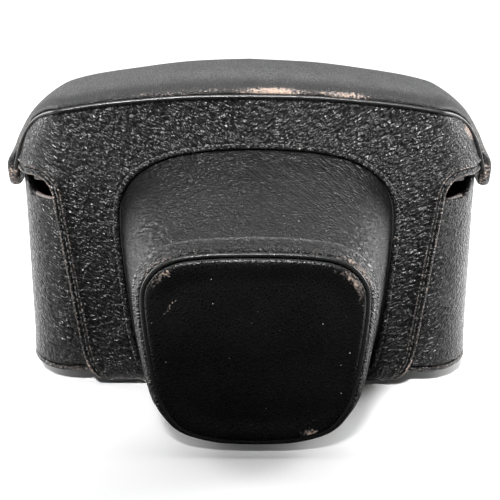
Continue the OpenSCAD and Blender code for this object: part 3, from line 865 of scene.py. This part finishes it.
nose_base_y, nose_reach, edge_reach, edge_in = 23.0, 70.0, 6.6, 2.5
nose_rows = []
for share in np.linspace(0, 1, 60):
    loop = base_loop * (1 - share) + rim_loop * share
    nose_rows.append(upright(loop, nose_base_y + (nose_reach - nose_base_y) * share))
for turn in np.radians(np.arange(3, 91, 3)):
    loop = drawn_in(rim_loop, edge_in * (1 - math.cos(turn)))
    nose_rows.append(upright(loop, nose_reach + edge_reach * math.sin(turn)))
outer_rows = len(nose_rows) - 1
for inset, y in ((2.75, 76.45), (2.95, 76.1), (3.0, 75.6), (2.7, 74.2), (2.2, 72),
                 (1.8, 70), (1.8, 55), (1.8, 40), (1.8, nose_base_y)):
    share = min(1, (y - nose_base_y) / (nose_reach - nose_base_y))
    nose_rows.append(upright(drawn_in(base_loop * (1 - share) + rim_loop * share, inset), y))
nose_rows = np.array(nose_rows)
nose_points = nose_rows.reshape(-1, 3)
middle = np.array([nose_shift, 0, 37])
away = (nose_points - middle) * [1, 0, 1]
away /= np.maximum(np.linalg.norm(away, axis=1), 1e-9)[:, None]
calm = ease((-nose_points[:, 1] - 25) / 6) * ease((74 + nose_points[:, 1]) / 6)
buckle = 0.25 * wave(nose_points, 17, 2.2) + 0.1 * wave(nose_points * [0.35, 1, 1], 4, 6.2) - 0.2
nose_points = nose_points + away * (buckle * calm)[:, None]
outer = np.arange(len(nose_points)) < outer_rows * nose_rows.shape[1]
welted = 0.65 * hill(nose_points[:, 1], -70.9, 0.5) - 0.5 * hill(nose_points[:, 1], -72.7, 0.6)
nose_points = nose_points + away * (welted * outer)[:, None]
px, py, pz = nose_points.T
at_edge = hill(py, -76.2, 1.4)
at_welt = hill(py, -71.0, 0.5) * outer
corner_right = hill(px, 33, 7) * hill(pz, 59, 7)
corner_left = hill(px, -27, 6) * hill(pz, 61, 6)
# Along the welt's ridge just outside the rim, the second mark paints a light line: a painted highlight. The
# same line also gets a little wear.
nose_wear = at_edge * (0.22 + 0.3 * corner_right + 0.2 * corner_left) + 0.12 * at_welt
nose = ring_shell(
    "nose_tube", nose_points.reshape(nose_rows.shape), {"wear": nose_wear, "painted_sheen": 1.5 * at_welt})
fitted(nose, fine_grained, "grained_leather", "cover", "nose_wall")

# ---- piping and rim welt ----
# A cord wrapped in thin black leather. It is sewn into both long seams of the cover, and a
# finer one rims the nose.

def bead(name, path, radius, loop, sides=14):
    """A round cord along a path, with dimpled sides and closed ends."""
    path = np.asarray(path, float)
    along = (np.roll(path, -1, 0) - np.roll(path, 1, 0)) if loop else np.gradient(path, axis=0)
    along /= np.linalg.norm(along, axis=1)[:, None]
    side = np.cross(along, [0, 1, 0.2])
    side /= np.linalg.norm(side, axis=1)[:, None]
    up = np.cross(along, side)
    turn = np.linspace(0, 2 * math.pi, sides, endpoint=False)
    thick = radius * (1 + 0.05 * wave(path, 2.5, 8.8))[:, None, None]
    across, over = np.cos(turn)[None, :, None], np.sin(turn)[None, :, None]
    rings = path[:, None] + thick * (across * side[:, None] + over * up[:, None])
    if loop:
        return ring_shell(name, rings)
    m = len(rings)
    faces = []
    for i in range(m - 1):
        for k in range(sides):
            after = (k + 1) % sides
            faces.append((i * sides + k, (i + 1) * sides + k, (i + 1) * sides + after, i * sides + after))
    faces += [tuple(range(sides)), tuple((m - 1) * sides + k for k in range(sides - 1, -1, -1))]
    return made(name, rings.reshape(-1, 3), faces)


piping_finish = leather("piping_black_leather", 0.5, 0.02, 0.22, shade=0.012)
full_seam = even(np.vstack([(seam_half * [-1, 1])[::-1], seam_half[1:]]), 0.8, loop=False)
seam_x, seam_z = full_seam.T
for name, surface, way in (("top_front_piping", front_y, -1), ("top_back_piping", back_y, 1)):
    path = np.column_stack([seam_x, surface(seam_x, seam_z) + way * 0.45, seam_z - 0.75])
    fitted(bead(name + "_cord", path, 0.62, False), piping_finish, "piping_leather", "cover", name)
welt_path = upright(drawn_in(rim_loop, 3.0), 76.88)
rim_cord = bead("nose_rim_cord", welt_path, 0.7, True)
fitted(rim_cord, piping_finish, "piping_leather", "cover", "nose_rim_welt")

# ---- face of the nose ----
# A lightly padded disc of glossy fine-grained hide, stretched over a board and turned under
# at its edge, which closes the nose. It is plain.

face_finish = leather("glossy_black_leather", 1.1, 0.1, 0.22, shade=0.003, dust=0.8)
face_loop = drawn_in(rim_loop, 3.75)
face_middle = np.array([nose_shift, 36.0])
face_rows = []
reach = np.linalg.norm(face_loop - face_middle, axis=1)[:, None]
pad_back, pad_front = 77.37, 78.8
round_rows = [(1.3 * (1 - math.cos(a)), 77.8 + 1.0 * math.sin(a)) for a in np.radians((20, 40, 60, 80))]
for depth_in, y in [(0.35, pad_back), (0.1, 77.5), (0.0, 77.8)] + round_rows:
    face_rows.append(upright(face_loop + (face_middle - face_loop) / reach * depth_in, y))
edge_rows = len(face_rows)
start_share = 1 - 1.5 / reach
for share in np.linspace(1, 0.015, 62)[1:]:
    face_rows.append(upright(face_middle + (face_loop - face_middle) * start_share * share, pad_front))
face_rows = np.array(face_rows)
m, n = face_rows.shape[:2]
face_points = face_rows.reshape(-1, 3)
face_edge = loop_distance(face_points[:, [0, 2]], [closed(face_loop)])
dished = 0.5 * ease((face_edge - 1.5) / 6) - 0.25 * wave(face_points, 13, 5.5) * ease((face_edge - 2) / 5)
face_points[:, 1] += np.where(np.arange(len(face_points)) >= edge_rows * n, dished, 0)
face_points = np.vstack([
    face_points,
    [face_middle[0], face_points[-n:, 1].mean(), face_middle[1]],
    [face_middle[0], -pad_back, face_middle[1]]])
faces = [(i * n + j, i * n + (j + 1) % n, (i + 1) * n + (j + 1) % n, (i + 1) * n + j)
         for i in range(m - 1) for j in range(n)]
faces += [((m - 1) * n + j, (m - 1) * n + (j + 1) % n, m * n) for j in range(n)]
faces += [((j + 1) % n, j, m * n + 1) for j in range(n)]
px, pz = face_points[:, 0], face_points[:, 2]
face_edge = np.append(face_edge, [30, 30])
face_wear = hill(face_edge, 1.2, 1.8) * (
    0.42 * hill(px, 31, 6) * hill(pz, 56, 7) + 0.36 * hill(px, -26, 5) * hill(pz, 59, 5)
    + 0.45 * hill(px, 19, 3) * hill(pz, 8, 3) + 0.1)
scratch_x, scratch_z = px + 22.5, pz - 48
scratch = np.abs(scratch_x * 0.77 - scratch_z * 0.64 + 0.3 * np.sin(pz * 1.7))
face_wear = face_wear + 0.62 * hill(scratch, 0, 0.3) * (np.hypot(scratch_x, scratch_z) < 3.6)
face = made("nose_face_pad", face_points, faces, {"wear": face_wear})
fitted(face, face_finish, "smooth_leather", "cover", "nose_face")

# ---- back panel ----
# The cover's back, of the same pebbled hide. It is sewn in under the strip, and its lower
# edge ends just above the rim of the half-case.

back_top, back_foot, back_steps = tucked(full_seam), 75.9, 26
rows = []
for share in np.linspace(0, 1, back_steps):
    z = back_foot + (np.maximum(back_top[:, 1], 76.5) - back_foot) * share
    rows.append(np.column_stack([back_top[:, 0], back_y(back_top[:, 0], z), z]))
rows = np.array(rows)
points = rows.reshape(-1, 3)
edge = loop_distance(points, [closed(border_of(rows))])
points = points + [0, 1, 0] * ((0.25 * wave(points, 18, 6.1) - 0.2) * ease(edge / 4))[:, None]
back = hide_sheet(
    "back_panel_hide", points, grid_faces(back_steps, len(back_top)), edge, 2.0, 1.0,
    {"wear": 0.35 * hill(points[:, 2], back_foot, 1.0)}, (0, 1, 0))
fitted(back, pebbled, "grained_leather", "cover", "back_panel")

# ---- hinge strap ----
# A plain strap of flat hide, sewn to the back of the cover and held to the half-case by two
# press studs. It is the hinge, and here it is built flat.

def round_plate(x, low, high, corner, steps=12):
    """A rectangle from -x to x and from low to high, with round corners."""
    out, right, bottom, top_edge = [], x - corner, low + corner, high - corner
    for cx, cz, start in (
            (right, top_edge, 0), (-right, top_edge, 90), (-right, bottom, 180), (right, bottom, 270)):
        for a in np.radians(np.linspace(start, start + 90, steps)):
            out.append((cx + corner * math.cos(a), cz + corner * math.sin(a)))
    return np.array(out)


pattern, faces, edge = cut_pattern([round_plate(30, 54, 95, 6)], 1.5, (0.4, 0.8, 1.4, 2.0, 2.6))
points = np.column_stack([pattern[:, 0], np.full(len(pattern), 22.6), pattern[:, 1]])
points[:, 1] -= 0.35 * hill(edge, 2.2, 0.5)
strap_finish = leather("strap_black_leather", 0.9, 0.05, 0.5, crease=0.1, shade=0.013)
strap_wear = 0.5 * hill(edge, 0, 0.9) + 0.12 * hill(points[:, 2], rim_height, 2.5)
strap = hide_sheet(
    "hinge_strap_hide", points, faces, edge, 1.6, 0.8, {"wear": strap_wear}, (0, 1, 0))
fitted(strap, strap_finish, "smooth_leather", None, "hinge_strap")
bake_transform(strap)
strap_run = closed(even(round_plate(27.8, 56.2, 92.8, 4), 0.8))
row = sew("hinge_strap_stitches", upright(strap_run, -22.4), None, 2.4, 1.7, 0.22, 9)
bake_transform(row)

# ---- press studs ----
# Pressed brass, nickel-plated: a domed cap with a rolled rim, closed over a post through
# the leather.

def metal(name, colour, rough):
    material, shader, place = blank_material(name)
    haze, pits = place.noise(3, 3), place.noise(0.3, 4)
    haze.shade(darker(colour, 0.72), colour).feed(shader, "Base Color")
    (rough + 0.22 * (haze - 0.4) + 0.1 * pits).feed(shader, "Roughness")
    relief(pits, 0.012).feed(shader, "Normal")
    shader.inputs["Metallic"].default_value = 1.0
    return material


nickel = metal("nickel_plate", (0.66, 0.64, 0.6, 1), 0.26)


def turned(name, profile, centre, axis, steps=64):
    """A closed round piece from a profile of radius and height, from one pole to the other."""
    axis = Vector(axis)
    spin = axis.to_track_quat("Z", "Y").to_matrix()
    points, faces = [], []
    inner = profile[1:-1]
    for radius, height in inner:
        for a in np.linspace(0, 2 * math.pi, steps, endpoint=False):
            around = Vector((radius * math.cos(a), radius * math.sin(a), height))
            points.append(Vector(centre) + spin @ around)
    for height in (profile[0][1], profile[-1][1]):
        points.append(Vector(centre) + spin @ Vector((0, 0, height)))
    for i in range(len(inner) - 1):
        for j in range(steps):
            k = (j + 1) % steps
            faces.append((i * steps + j, i * steps + k, (i + 1) * steps + k, (i + 1) * steps + j))
    first, last = len(points) - 2, len(points) - 1
    top_ring = (len(inner) - 1) * steps
    faces += [((j + 1) % steps, j, first) for j in range(steps)]
    faces += [(top_ring + j, top_ring + (j + 1) % steps, last) for j in range(steps)]
    return made(name, [tuple(p) for p in points], faces)


cap_rim = [(0, 0), (3.9, 0), (4.5, 0.08), (4.75, 0.32), (4.8, 0.55), (4.66, 0.82), (4.3, 0.96),
           (4.05, 0.9), (3.85, 0.86), (3.6, 0.95)]
cap_dome = [(3.6 * math.cos(a), 0.95 + 0.55 * math.sin(a))
            for a in np.radians((12, 25, 38, 50, 62, 74, 84))]
cap_profile = cap_rim + cap_dome + [(0, 1.5)]
for side, label in ((-1, "left"), (1, "right")):
    cap = turned("strap_cap_dome_" + label, cap_profile, (side * 21, 22.6, 61), (0, 1, 0))
    fitted(cap, nickel, "nickel", "lower_case", "strap_cap_" + label)
    cap = turned("tongue_cap_dome_" + label, cap_profile, (side * stud_x, stud_y, 1.5), (0, 0, -1))
    fitted(cap, nickel, "nickel", "tongue", "tongue_cap_" + label)

# ---- linings, boards and small metal ----
# Grey fibre board stiffens each panel, and red flocked cloth lines it. The sockets, studs,
# eyelet, clip and screw are plated metal, shaped as they come from the press and the lathe.

def flock(name, colour):
    material, shader, place = blank_material(name)
    nap, sweep = place.noise(0.35, 4), place.noise(11, 3)
    (0.5 * nap + 0.5 * sweep).shade(darker(colour, 0.45), colour).feed(shader, "Base Color")
    relief(nap, 0.25).feed(shader, "Normal")
    shader.inputs["Roughness"].default_value = 0.95
    shader.inputs["Sheen Weight"].default_value = 0.1
    return material


def fibre(name):
    material, shader, place = blank_material(name)
    lines = place.noise(0.6, 4)
    lines.shade((0.09, 0.085, 0.08, 1), (0.21, 0.2, 0.19, 1)).feed(shader, "Base Color")
    relief(lines, 0.1).feed(shader, "Normal")
    shader.inputs["Roughness"].default_value = 0.85
    return material


red_flock, grey_board = flock("red_flock", (0.06, 0.007, 0.009, 1)), fibre("grey_fibre_board")
foot_leather = leather("foot_black_leather", 0.9, 0.05, 0.55)
for node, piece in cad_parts.items():
    finish = (red_flock if node.endswith("lining") else grey_board if node.endswith("board")
              else foot_leather if node == "nose_flange" else nickel)
    if not piece.hide_render:
        piece.data.materials.clear()
        piece.data.materials.append(finish)
